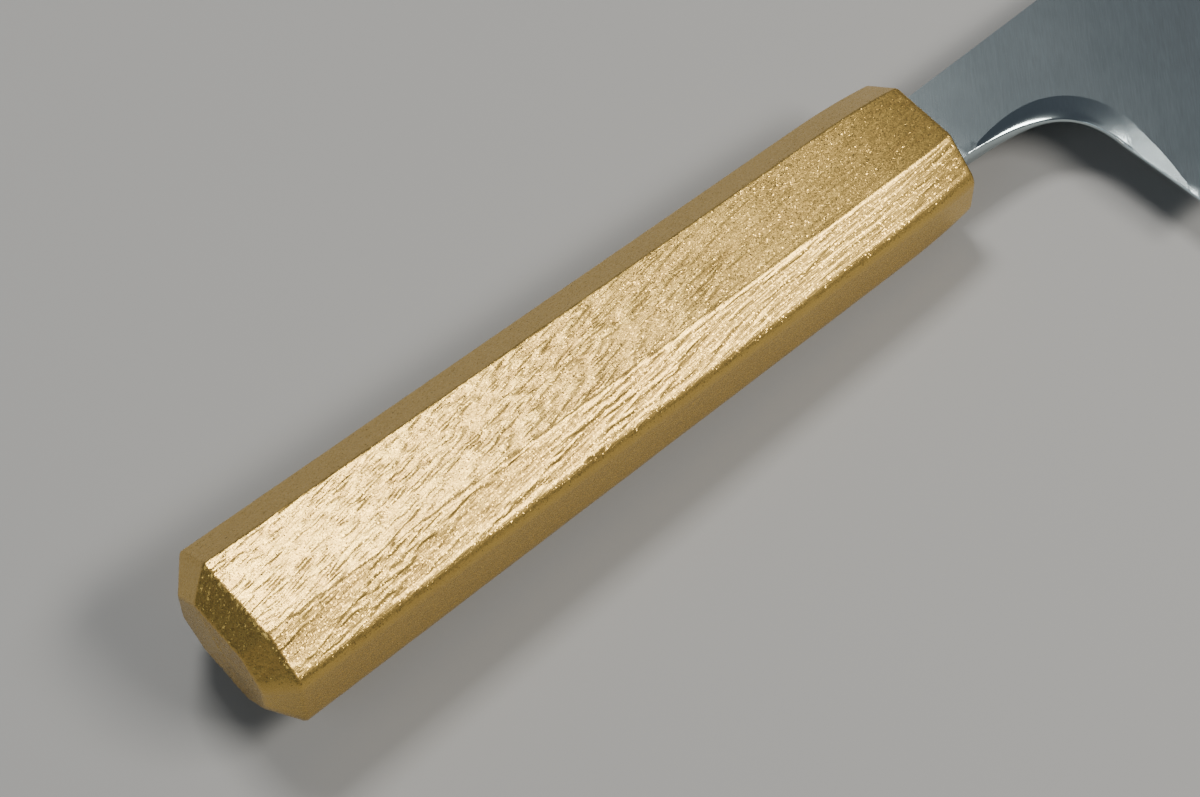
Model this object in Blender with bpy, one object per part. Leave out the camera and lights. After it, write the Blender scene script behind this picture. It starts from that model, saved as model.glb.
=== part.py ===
"""Chef's knife with an octagonal one-piece wooden handle and a hidden tang.

Metres, +Z up. The knife lies on its left side: +X points to the tip, +Y to the spine and +Z out of
the right face of the blade. The world origin is under the middle of the whole knife. Inside, each
part is drawn on the knife's own axes: x = 0 is the front face of the handle, y = 0 the axis of the
handle and z = 0 the middle plane of the blade. One empty carries those axes into the world.

Three solids: the wooden handle, the blade with its neck and tang, and the adhesive bed that holds
the tang in the handle.
"""

import math

import bmesh
import bpy
from mathutils import Vector
from mathutils.geometry import delaunay_2d_cdt, interpolate_bezier

# Handle: a tapered octagonal bar, taller than thick, with a short nose that narrows at the front.
HANDLE_LENGTH = 0.126
BUTT_HEIGHT, BUTT_THICKNESS = 0.0263, 0.0208
BUTT_CUT_Y, BUTT_CUT_Z = 0.0063, 0.0052      # what each long bevel takes off at the butt
FRONT_HEIGHT, FRONT_THICKNESS = 0.0237, 0.0185
FRONT_CUT_Y, FRONT_CUT_Z = 0.0057, 0.0049
BUTT_CHAMFER_LENGTH = 0.0036
BUTT_CHAMFER_INSET = 0.0040
BUTT_FACE_CUT_Y, BUTT_FACE_CUT_Z = 0.0044, 0.0036
NOSE_LENGTH = 0.0137
NOSE_DROP = 0.0006                           # how far the nose falls away from the straight taper
NOSE_STEPS = 4
FRONT_EDGE = 0.0006                          # small chamfer around the front face

# Blade profile, seen from its right side.
NECK_TOP, NECK_BOTTOM = 0.0068, -0.0062
SPINE_RISE = math.tan(math.radians(1.65))
SPINE_STRAIGHT_END = 0.105
TIP_X, TIP_Y = 0.234, -0.0045
HEEL_X, HEEL_Y = 0.0238, -0.0358
EDGE_BELLY_POWER = 3.4
SPINE_DROP_POWER = 2.6
CHOIL_START = (0.0030, NECK_BOTTOM)
CHOIL_CONTROL_NECK = (0.0155, -0.0070)
CHOIL_CONTROL_HEEL = (0.0222, -0.0087)
CHOIL_END = (0.0223, -0.0190)
CHOIL_POINTS = 26
HEEL_POINTS = 8
EDGE_POINTS = 44
SPINE_POINTS = 36

# Blade thickness.
NECK_THICKNESS = 0.0032
SPINE_AT_HEEL_THICKNESS = 0.0028
SPINE_AT_TIP_THICKNESS = 0.0009
GRIND_POWER = 1.8                            # 1 is a flat grind, more is a convex one
GRIND_START = 0.020                          # the grind fades out over the neck
SHOULDER_THICKNESS = 0.0003                  # behind the edge bevel
EDGE_BEVEL_WIDTH = 0.0008
LIP_WIDTH = 0.0038                           # polished lip around the choil, at its widest
LIP_DEPTH = 0.5                              # share of the thickness that the lip takes off there
LIP_FLAT_SHARE = 0.45
LIP_END = 0.95                               # the lip runs out this far along choil and heel
NARROWEST_BORDER = 0.0007                    # the lip's border is drawn where it is wider than this

# Tang, inside the handle.
TANG_SHOULDER_X = -0.0070
TANG_STEP_X = -0.0085
TANG_END_X = -0.098
TANG_STEP_HEIGHT, TANG_END_HEIGHT = 0.0096, 0.0056
TANG_STEP_THICKNESS, TANG_END_THICKNESS = 0.0030, 0.0022

# Fit of the tang: every pair of touching pieces keeps this gap, and the adhesive fills the rest.
GAP = 0.0003
MOUTH_ADHESIVE = 0.0006
CUTTER_OVERRUN = 0.002

GRIND_ROWS = (0.12, 0.26, 0.44, 0.66)
GRIND_COLUMN_STEP = 0.0095
CLEAR_OF_LINES = 0.0014                      # grind points keep this far from the drawn lines

knife = bpy.data.collections.new("chef_knife")
cutters = bpy.data.collections.new("cutters")


def clear_scene():
    for obj in list(bpy.data.objects):
        bpy.data.objects.remove(obj)
    for collection in (knife, cutters):
        bpy.context.scene.collection.children.link(collection)
    cutters.hide_render = True


def material(name, colour, roughness, metallic):
    finish = bpy.data.materials.new(name)
    finish.use_nodes = True
    shader = finish.node_tree.nodes["Principled BSDF"]
    shader.inputs["Base Color"].default_value = (*colour, 1.0)
    shader.inputs["Roughness"].default_value = roughness
    shader.inputs["Metallic"].default_value = metallic
    return finish


def add_object(name, mesh_builder, collection, axes):
    """Turns a bmesh into an object on the knife's axes, with its faces pointing out."""
    bmesh.ops.recalc_face_normals(mesh_builder, faces=mesh_builder.faces)
    mesh = bpy.data.meshes.new(name)
    mesh_builder.to_mesh(mesh)
    mesh_builder.free()
    obj = bpy.data.objects.new(name, mesh)
    obj.parent = axes
    collection.objects.link(obj)
    return obj


def loft(rings):
    """A closed solid through rings of equally many points, from one end face to the other."""
    solid = bmesh.new()
    rows = [[solid.verts.new(point) for point in ring] for ring in rings]
    for row, following in zip(rows, rows[1:]):
        for i in range(len(row)):
            j = (i + 1) % len(row)
            solid.faces.new((row[i], row[j], following[j], following[i]))
    solid.faces.new(reversed(rows[0]))
    solid.faces.new(rows[-1])
    return solid


def cut(obj, cutter):
    cutter.hide_render = True
    cutter.display_type = "WIRE"
    boolean = obj.modifiers.new("cut_" + cutter.name, "BOOLEAN")
    boolean.operation = "DIFFERENCE"
    boolean.solver = "EXACT"
    boolean.object = cutter


# Handle ------------------------------------------------------------------------------------------

def octagon(x, height, thickness, cut_y, cut_z):
    """The eight corners of one section, going round the X axis."""
    high, wide = height / 2, thickness / 2
    quarter = [(high, wide - cut_z), (high - cut_y, wide)]
    upper = quarter + [(-y, z) for y, z in reversed(quarter)]
    return [(x, y, z) for y, z in upper + [(-y, -z) for y, z in upper]]


def handle_section(x, inset=0.0):
    """A section of the handle's long taper, with the nose's drop and an inset on every side."""
    butt_x = BUTT_CHAMFER_LENGTH - HANDLE_LENGTH
    along = (x - butt_x) / -butt_x
    into_nose = max(0.0, (x + NOSE_LENGTH) / NOSE_LENGTH)
    narrower = 2 * (NOSE_DROP * into_nose ** 2 + inset)

    def taper(butt, front):
        return butt + (front - butt) * along

    return octagon(
        x,
        taper(BUTT_HEIGHT, FRONT_HEIGHT) - narrower,
        taper(BUTT_THICKNESS, FRONT_THICKNESS) - narrower,
        taper(BUTT_CUT_Y, FRONT_CUT_Y),
        taper(BUTT_CUT_Z, FRONT_CUT_Z),
    )


def make_handle(axes):
    butt_face = octagon(
        -HANDLE_LENGTH,
        BUTT_HEIGHT - 2 * BUTT_CHAMFER_INSET,
        BUTT_THICKNESS - 2 * BUTT_CHAMFER_INSET,
        BUTT_FACE_CUT_Y,
        BUTT_FACE_CUT_Z,
    )
    rings = [butt_face, handle_section(BUTT_CHAMFER_LENGTH - HANDLE_LENGTH)]
    nose_run = NOSE_LENGTH - FRONT_EDGE
    for step in range(NOSE_STEPS + 1):
        rings.append(handle_section(-NOSE_LENGTH + nose_run * step / NOSE_STEPS))
    rings.append(handle_section(0.0, FRONT_EDGE))
    handle = add_object("handle", loft(rings), knife, axes)
    handle.data.materials.append(material("gold_lacquered_wood", (0.60, 0.43, 0.22), 0.38, 0.85))
    bore = loft(tang_rings(MOUTH_ADHESIVE + 2 * GAP, CUTTER_OVERRUN))
    cut(handle, add_object("handle_bore_cutter", bore, cutters, axes))


# Blade -------------------------------------------------------------------------------------------

def spine_y(x):
    drop_top = NECK_TOP + SPINE_RISE * TIP_X
    into_drop = max(0.0, (x - SPINE_STRAIGHT_END) / (TIP_X - SPINE_STRAIGHT_END))
    return NECK_TOP + SPINE_RISE * x - (drop_top - TIP_Y) * into_drop ** SPINE_DROP_POWER


def edge_y(x):
    along = max(0.0, (x - HEEL_X) / (TIP_X - HEEL_X))
    return HEEL_Y + (TIP_Y - HEEL_Y) * along ** EDGE_BELLY_POWER


def choil_line():
    """Neck, round choil and heel, from the handle's side to the heel corner, which is left out."""
    arc = interpolate_bezier(
        *(
            Vector((*point, 0.0))
            for point in (CHOIL_START, CHOIL_CONTROL_NECK, CHOIL_CONTROL_HEEL, CHOIL_END)
        ),
        CHOIL_POINTS,
    )
    points = [point.to_2d() for point in arc]
    heel = Vector((HEEL_X, HEEL_Y))
    return points + [points[-1].lerp(heel, i / HEEL_POINTS) for i in range(1, HEEL_POINTS)]


def edge_line():
    """The cutting edge from the heel corner to the tip, closer together towards the tip."""
    points = []
    for i in range(EDGE_POINTS + 1):
        x = HEEL_X + (TIP_X - HEEL_X) * math.sin(math.pi / 2 * i / EDGE_POINTS)
        points.append(Vector((x, edge_y(x))))
    return points


def spine_line():
    """The spine from just behind the tip back to the handle's front face."""
    points = []
    for i in range(1, SPINE_POINTS + 1):
        x = TIP_X * math.cos(math.pi / 2 * i / SPINE_POINTS)
        points.append(Vector((x, spine_y(x))))
    return points


def tang_lines():
    """The tang's upper side from the handle's front to its end, and its lower side back again."""
    middle = (NECK_TOP + NECK_BOTTOM) / 2
    upper = [
        Vector((TANG_SHOULDER_X, NECK_TOP)),
        Vector((TANG_STEP_X, middle + TANG_STEP_HEIGHT / 2)),
        Vector((TANG_END_X, middle + TANG_END_HEIGHT / 2)),
    ]
    lower = [Vector((point.x, 2 * middle - point.y)) for point in reversed(upper)]
    return upper + lower


def distance_along(line, point):
    """The distance from a point to a polyline, and how far along the line the nearest place is."""
    lengths = [(b - a).length for a, b in zip(line, line[1:])]
    nearest, place, passed = math.inf, 0.0, 0.0
    for a, b, length in zip(line, line[1:], lengths):
        share = min(1.0, max(0.0, (point - a).dot(b - a) / length ** 2))
        away = (point - a.lerp(b, share)).length
        if away < nearest:
            nearest, place = away, passed + share * length
        passed += length
    return nearest, place / passed


def lip_width(along):
    return LIP_WIDTH * math.sin(math.pi * min(1.0, along / LIP_END))


def lip_border(choil):
    """Where the polished lip meets the blade's face: the choil line moved inwards."""
    border = []
    for before, here, after in zip(choil, choil[1:], choil[2:]):
        _, along = distance_along(choil, here)
        inwards = Vector((before.y - after.y, after.x - before.x)).normalized()
        if lip_width(along) > NARROWEST_BORDER:
            border.append(here + inwards * lip_width(along))
    return border


def bevel_border(edge):
    """The upper border of the edge bevel, stopping where it would leave the blade at the tip."""
    border = []
    for before, here, after in zip(edge, edge[1:], edge[2:]):
        inwards = Vector((before.y - after.y, after.x - before.x)).normalized()
        point = here + inwards * EDGE_BEVEL_WIDTH
        if point.y < spine_y(point.x) - EDGE_BEVEL_WIDTH:
            border.append(point)
    return border


def tang_half_thickness(x):
    if x > TANG_SHOULDER_X:
        return NECK_THICKNESS / 2
    if x > TANG_STEP_X:
        return TANG_STEP_THICKNESS / 2
    along = (TANG_STEP_X - x) / (TANG_STEP_X - TANG_END_X)
    return (TANG_STEP_THICKNESS + (TANG_END_THICKNESS - TANG_STEP_THICKNESS) * along) / 2


def blade_half_thickness(point, choil):
    """Half the thickness of the steel at a point of the profile, away from the cutting edge."""
    if point.x < 0.0:
        return tang_half_thickness(point.x)
    to_heel = min(1.0, point.x / HEEL_X)
    to_tip = max(0.0, (point.x - HEEL_X) / (TIP_X - HEEL_X))
    spine = NECK_THICKNESS + (SPINE_AT_HEEL_THICKNESS - NECK_THICKNESS) * to_heel
    spine += (SPINE_AT_TIP_THICKNESS - SPINE_AT_HEEL_THICKNESS) * to_tip
    low = edge_y(point.x)
    height_share = min(1.0, max(0.0, (point.y - low) / (spine_y(point.x) - low)))
    fade = min(1.0, point.x / GRIND_START)
    ground = (spine - SHOULDER_THICKNESS) * fade * (1.0 - height_share) ** GRIND_POWER
    away, along = distance_along(choil, point)
    width = lip_width(along)
    into_lip = max(0.0, 1.0 - away / width) if width > 0.0 else 0.0
    depth = LIP_DEPTH * width / LIP_WIDTH
    lip = depth * (LIP_FLAT_SHARE * into_lip + (1.0 - LIP_FLAT_SHARE) * into_lip ** 2)
    return (spine - ground) * (1.0 - lip) / 2


def grind_points(lines):
    """Points on the blade's face that carry its convex grind, clear of every drawn line."""
    points = []
    columns = round((TIP_X - HEEL_X) / GRIND_COLUMN_STEP)
    for column in range(columns):
        x = HEEL_X + GRIND_COLUMN_STEP * (column + 0.5)
        for share in GRIND_ROWS:
            point = Vector((x, edge_y(x) + (spine_y(x) - edge_y(x)) * share))
            if all(distance_along(line, point)[0] > CLEAR_OF_LINES for line in lines):
                points.append(point)
    return points


def make_blade(axes):
    choil, edge = choil_line(), edge_line()
    outline = tang_lines() + choil + edge + spine_line()
    lines = [lip_border(choil), bevel_border(edge)]
    points = list(outline)
    borders = []
    for line in lines:
        start = len(points)
        points += line
        borders += [(i, i + 1) for i in range(start, len(points) - 1)]
    points += grind_points(lines + [outline + outline[:1]])
    flat = delaunay_2d_cdt(points, borders, [list(range(len(outline)))], 1, 1e-7)
    flat_points, flat_faces, origins = flat[0], flat[2], flat[3]

    first_edge = outline.index(edge[0])
    on_edge = set(range(first_edge, first_edge + len(edge)))
    number = {}
    solid = bmesh.new()
    right, left = [], []
    for place, (point, sources) in enumerate(zip(flat_points, origins)):
        for source in sources:
            number[source] = place
        high = 0.0 if on_edge & set(sources) else blade_half_thickness(point, choil)
        right.append(solid.verts.new((point.x, point.y, high)))
        left.append(solid.verts.new((point.x, point.y, -high)) if high else right[-1])
    for face in flat_faces:
        solid.faces.new([right[i] for i in face])
        solid.faces.new([left[i] for i in reversed(face)])
    for i in range(len(outline)):
        a, b = number[i], number[(i + 1) % len(outline)]
        wall = list(dict.fromkeys((left[a], left[b], right[b], right[a])))
        if len(wall) > 2:
            solid.faces.new(wall)
    blade = add_object("blade", solid, knife, axes)
    blade.data.materials.append(material("brushed_steel", (0.42, 0.45, 0.46), 0.34, 1.0))


# Adhesive bed ------------------------------------------------------------------------------------

def tang_rings(grow, front):
    """Rectangular sections around the tang, larger by grow on every side, up to x = front."""
    middle = (NECK_TOP + NECK_BOTTOM) / 2
    neck = (NECK_TOP - NECK_BOTTOM, NECK_THICKNESS)
    sections = [
        (TANG_END_X - grow, TANG_END_HEIGHT, TANG_END_THICKNESS),
        (TANG_STEP_X - grow, TANG_STEP_HEIGHT, TANG_STEP_THICKNESS),
        (TANG_SHOULDER_X - grow, *neck),
        (front, *neck),
    ]
    rings = []
    for x, height, thickness in sections:
        high, wide = height / 2 + grow, thickness / 2 + grow
        corners = [(high, -wide), (high, wide), (-high, wide), (-high, -wide)]
        rings.append([(x, middle + y, z) for y, z in corners])
    return rings


def make_adhesive(axes):
    bed = add_object("tang_adhesive", loft(tang_rings(MOUTH_ADHESIVE + GAP, 0.0)), knife, axes)
    bed.data.materials.append(material("cured_adhesive", (0.10, 0.07, 0.04), 0.45, 0.0))
    cut(bed, add_object("tang_cutter", loft(tang_rings(GAP, CUTTER_OVERRUN)), cutters, axes))


def main():
    clear_scene()
    axes = bpy.data.objects.new("knife_axes", None)
    knife.objects.link(axes)
    axes.location = (
        (HANDLE_LENGTH - TIP_X) / 2,
        -(BUTT_HEIGHT / 2 + HEEL_Y) / 2,
        BUTT_THICKNESS / 2,
    )
    make_handle(axes)
    make_blade(axes)
    make_adhesive(axes)


main()
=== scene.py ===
"""A chef's knife with an octagonal gold-lacquered handle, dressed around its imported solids.

The handle is one piece of wood whose raised grain is real relief under satin gold lacquer. The blade
is brushed from spine to edge, with a polished lip around the choil. Metres, in the frame of the
solids: +X towards the tip, +Y towards the spine, +Z out of the blade's right face.
"""

import logging
import math
from dataclasses import dataclass, field
from enum import Enum
from typing import Sequence

import bmesh
import bpy
import numpy as np
from mathutils import Matrix, Vector, noise
from mathutils.geometry import delaunay_2d_cdt, interpolate_bezier


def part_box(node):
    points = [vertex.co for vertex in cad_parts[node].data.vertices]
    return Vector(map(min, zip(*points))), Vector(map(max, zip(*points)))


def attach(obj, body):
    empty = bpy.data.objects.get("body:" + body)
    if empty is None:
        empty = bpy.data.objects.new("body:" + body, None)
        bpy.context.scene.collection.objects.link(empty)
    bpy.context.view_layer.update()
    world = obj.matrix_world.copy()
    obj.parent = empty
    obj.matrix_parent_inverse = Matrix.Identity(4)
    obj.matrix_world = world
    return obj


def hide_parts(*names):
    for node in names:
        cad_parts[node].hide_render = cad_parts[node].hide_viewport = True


MM = 0.001
BODY = "root"
# What the handle's mesh keeps for its lacquer: height shares, which darken the valleys as painted
# shade, and places in the grain.
RELIEF = "relief"
GRAIN = "grain"
# The most of a side that the easing of a corner may take up.
MOST_EASED = 0.45

log = logging.getLogger("chef_knife")

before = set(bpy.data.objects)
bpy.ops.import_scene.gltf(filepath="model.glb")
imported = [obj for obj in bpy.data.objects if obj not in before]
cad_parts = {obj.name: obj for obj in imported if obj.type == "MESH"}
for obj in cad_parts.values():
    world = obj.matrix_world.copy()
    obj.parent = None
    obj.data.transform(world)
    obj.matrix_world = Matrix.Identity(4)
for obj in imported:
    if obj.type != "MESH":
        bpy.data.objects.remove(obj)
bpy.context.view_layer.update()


class SteelSurface(Enum):
    """The two ways the steel is finished, in the order of the blade's material slots."""

    BRUSHED = 0
    POLISHED = 1


def smooth_step(low: float, high: float, value: float) -> float:
    """The eased share, from 0 to 1, of the way from low to high."""
    share = min(1.0, max(0.0, (value - low) / (high - low)))
    return share * share * (3.0 - 2.0 * share)


def mix(first: float, second: float, share: float) -> float:
    """The value that lies a share of the way from first to second."""
    return first + (second - first) * share


def eased_run(place: float, first: float, second: float, middle: float, length: float) -> float:
    """The running total, at a place, of a slope that eases from first to second.

    Args:
        place: Where the total is wanted.
        first: The slope well before the middle.
        second: The slope well after it.
        middle: Where the slope is half way between the two.
        length: How gently it changes.

    Returns:
        The total.
    """
    reach = abs(place - middle) / length
    change = length * (reach + math.log1p(math.exp(-2.0 * reach)))
    return first * place + (second - first) * 0.5 * (place + change)


@dataclass(frozen=True)
class KnifeAxes:
    """Where the handle's front face, axis and middle plane are in the frame."""

    front: float
    axis_y: float
    middle_z: float

    @classmethod
    def from_frame(cls) -> "KnifeAxes":
        """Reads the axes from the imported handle's box."""
        low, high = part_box("handle")
        return cls(high[0], (low[1] + high[1]) / 2, (low[2] + high[2]) / 2)

    def place(self, mesh: bpy.types.Mesh) -> None:
        """Moves a mesh drawn on the knife's own axes to its place in the frame."""
        mesh.transform(Matrix.Translation((self.front, self.axis_y, self.middle_z)))

    def point(self, x: float, y: float, z: float) -> Vector:
        """A point given on the knife's own axes, as a point of the frame."""
        return Vector((self.front + x, self.axis_y + y, self.middle_z + z))


def add_piece(name: str, mesh: bpy.types.Mesh, axes: KnifeAxes) -> bpy.types.Object:
    """Puts a mesh into the scene as a piece of the knife.

    Args:
        name: The piece's name.
        mesh: Its mesh, on the knife's own axes.
        axes: Where those axes are in the frame.

    Returns:
        The new object, riding on the knife's body.
    """
    axes.place(mesh)
    piece = bpy.data.objects.new(name, mesh)
    bpy.context.scene.collection.objects.link(piece)
    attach(piece, BODY)
    log.info("%s: %d faces", name, len(mesh.polygons))
    return piece


def finished_mesh(name: str, solid: bmesh.types.BMesh) -> bpy.types.Mesh:
    """Turns a worked solid into a mesh and lets go of the solid.

    Args:
        name: The mesh's name.
        solid: The solid.

    Returns:
        The mesh.
    """
    mesh = bpy.data.meshes.new(name)
    solid.to_mesh(mesh)
    solid.free()
    return mesh


# Shader building ----------------------------------------------------------------------------------


class NodeTable:
    """Adds nodes to a tree in a few words."""

    def __init__(self, tree: bpy.types.NodeTree) -> None:
        """Works on the given tree."""
        self.tree = tree

    def add(self, kind: str, **settings: object) -> bpy.types.Node:
        """Adds a node.

        Args:
            kind: The node's type name.
            settings: Attributes of the node, or for a name of an input socket its value or link.

        Returns:
            The new node.
        """
        node = self.tree.nodes.new(kind)
        inputs = settings.pop("inputs", {})
        for name, value in settings.items():
            setattr(node, name, value)
        for name, value in inputs.items():
            self.feed(node.inputs[name], value)
        return node

    def feed(self, socket: bpy.types.NodeSocket, value: object) -> None:
        """Links an output to a socket, or sets the socket's own value.

        Args:
            socket: The socket.
            value: The output, or the number, vector or colour.
        """
        if isinstance(value, bpy.types.NodeSocket):
            self.tree.links.new(value, socket)
        else:
            socket.default_value = value

    def math(self, operation: str, first: object, second: object = 0.0) -> bpy.types.NodeSocket:
        """The result of a Math node on two values or links.

        Args:
            operation: What the node does.
            first: Its first value.
            second: Its second value.

        Returns:
            The result.
        """
        node = self.add("ShaderNodeMath", operation=operation)
        self.feed(node.inputs[0], first)
        self.feed(node.inputs[1], second)
        return node.outputs[0]

    def vector(self, operation: str, first: object, second: object = None) -> bpy.types.NodeSocket:
        """The result of a Vector Math node on one or two vectors.

        Args:
            operation: What the node does.
            first: Its first vector.
            second: Its second vector, where it has one.

        Returns:
            The result.
        """
        node = self.add("ShaderNodeVectorMath", operation=operation)
        self.feed(node.inputs[0], first)
        if second is not None:
            self.feed(node.inputs[1], second)
        return node.outputs[0]

    def scaled(self, vector: object, scale: object) -> bpy.types.NodeSocket:
        """A vector times a number.

        Args:
            vector: The vector.
            scale: The number.

        Returns:
            The scaled vector.
        """
        node = self.add("ShaderNodeVectorMath", operation="SCALE")
        self.feed(node.inputs[0], vector)
        self.feed(node.inputs["Scale"], scale)
        return node.outputs[0]

    def remap(
        self, value: object, low: float, high: float, to_low: float, to_high: float
    ) -> bpy.types.NodeSocket:
        """A value moved from one range to another and held inside it.

        Args:
            value: The value.
            low: The start of its own range.
            high: The end of it.
            to_low: What the start becomes.
            to_high: What the end becomes.

        Returns:
            The moved value.
        """
        node = self.add("ShaderNodeMapRange")
        names = ("Value", "From Min", "From Max", "To Min", "To Max")
        for name, setting in zip(names, (value, low, high, to_low, to_high)):
            self.feed(node.inputs[name], setting)
        return node.outputs[0]

    def mixed(self, share: object, first: object, second: object) -> bpy.types.NodeSocket:
        """A colour between two colours.

        Args:
            share: How far to go from the first to the second.
            first: The first colour.
            second: The second colour.

        Returns:
            The colour between them.
        """
        node = self.add("ShaderNodeMix", data_type="RGBA")
        self.feed(node.inputs["Factor"], share)
        self.feed(node.inputs["A"], first)
        self.feed(node.inputs["B"], second)
        return node.outputs["Result"]

    def bump(
        self, height: object, strength: float, distance: float, normal: object = None
    ) -> bpy.types.NodeSocket:
        """A normal leaned by small heights.

        Args:
            height: The heights, from 0 to 1.
            strength: How strongly they show.
            distance: How high 1 is, in metres.
            normal: A normal to start from, where there is one.

        Returns:
            The new normal.
        """
        node = self.add("ShaderNodeBump", inputs={"Strength": strength, "Distance": distance})
        self.feed(node.inputs["Height"], height)
        if normal is not None:
            self.feed(node.inputs["Normal"], normal)
        return node.outputs[0]


def colour(red: float, green: float, blue: float) -> tuple[float, float, float, float]:
    """An opaque colour for a socket."""
    return (red, green, blue, 1.0)


def new_group(
    name: str, inputs: Sequence[tuple[str, str, float]], outputs: Sequence[tuple[str, str]]
) -> tuple[bpy.types.NodeTree, NodeTable, bpy.types.Node, bpy.types.Node]:
    """Starts a shader node group with named sockets.

    Args:
        name: The group's name.
        inputs: Name, socket kind and default of each input.
        outputs: Name and socket kind of each output.

    Returns:
        The group, a table to build it with, and its input and output nodes.
    """
    group = bpy.data.node_groups.new(name, "ShaderNodeTree")
    for label, kind, default in inputs:
        socket = group.interface.new_socket(name=label, in_out="INPUT", socket_type=kind)
        if kind == "NodeSocketFloat":
            socket.default_value = default
    for label, kind in outputs:
        group.interface.new_socket(name=label, in_out="OUTPUT", socket_type=kind)
    table = NodeTable(group)
    return group, table, table.add("NodeGroupInput"), table.add("NodeGroupOutput")


def streak_group() -> bpy.types.NodeTree:
    """Noise drawn out along one direction: brush marks in steel and grain under lacquer.

    Returns:
        The node group, built on the first call.
    """
    name = "drawn_out_streaks"
    if name in bpy.data.node_groups:
        return bpy.data.node_groups[name]
    group, table, given, result = new_group(
        name,
        [
            ("Place", "NodeSocketVector", 0.0),
            ("Turn", "NodeSocketFloat", 0.0),
            ("Fineness", "NodeSocketFloat", 4000.0),
            ("Length", "NodeSocketFloat", 30.0),
        ],
        [("Fine", "NodeSocketFloat"), ("Broad", "NodeSocketFloat")],
    )
    turned = table.add("ShaderNodeVectorRotate", rotation_type="Z_AXIS")
    table.feed(turned.inputs["Vector"], given.outputs["Place"])
    table.feed(turned.inputs["Angle"], table.math("MULTIPLY", given.outputs["Turn"], -1.0))
    shrink = table.math("DIVIDE", 1.0, given.outputs["Length"])
    squeeze = table.add("ShaderNodeCombineXYZ", inputs={"X": shrink, "Y": 1.0, "Z": 1.0})
    drawn = table.vector("MULTIPLY", turned.outputs[0], squeeze.outputs[0])
    fine = table.add("ShaderNodeTexNoise", inputs={"Detail": 3.0, "Roughness": 0.65})
    table.feed(fine.inputs["Vector"], drawn)
    table.feed(fine.inputs["Scale"], given.outputs["Fineness"])
    broad = table.add("ShaderNodeTexNoise", inputs={"Detail": 2.0, "Roughness": 0.5})
    table.feed(broad.inputs["Vector"], drawn)
    broadness = 0.12
    table.feed(broad.inputs["Scale"], table.math("MULTIPLY", given.outputs["Fineness"], broadness))
    table.feed(result.inputs["Fine"], fine.outputs[0])
    table.feed(result.inputs["Broad"], broad.outputs[0])
    return group


def mottle_group() -> bpy.types.NodeTree:
    """Slow cloudy variation of tone, which no real surface is without.

    Returns:
        The node group, built on the first call.
    """
    name = "cloudy_tone"
    if name in bpy.data.node_groups:
        return bpy.data.node_groups[name]
    group, table, given, result = new_group(
        name,
        [("Place", "NodeSocketVector", 0.0), ("Size", "NodeSocketFloat", 0.01)],
        [("Tone", "NodeSocketFloat")],
    )
    clouds = table.add("ShaderNodeTexNoise", inputs={"Detail": 4.0, "Roughness": 0.55})
    table.feed(clouds.inputs["Vector"], given.outputs["Place"])
    table.feed(clouds.inputs["Scale"], table.math("DIVIDE", 1.0, given.outputs["Size"]))
    table.feed(result.inputs["Tone"], table.remap(clouds.outputs[0], 0.3, 0.7, 0.0, 1.0))
    return group


def start_material(
    name: str,
) -> tuple[bpy.types.Material, NodeTable, bpy.types.Node, bpy.types.NodeSocket]:
    """Starts a material.

    Args:
        name: The material's name.

    Returns:
        The material, a table to build it with, its Principled shader and the piece's own coordinates.
    """
    material = bpy.data.materials.new(name)
    material.use_nodes = True
    table = NodeTable(material.node_tree)
    shader = material.node_tree.nodes["Principled BSDF"]
    place = table.add("ShaderNodeTexCoord").outputs["Object"]
    return material, table, shader, place


def add_group(table: NodeTable, group: bpy.types.NodeTree, **values: object) -> bpy.types.Node:
    """Places a node group in a material with its own values.

    Args:
        table: The material's table.
        group: The group.
        values: A value or link for each named input.

    Returns:
        The group's node.
    """
    node = table.add("ShaderNodeGroup", node_tree=group)
    for name, value in values.items():
        table.feed(node.inputs[name], value)
    return node


# Finishes -----------------------------------------------------------------------------------------


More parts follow.
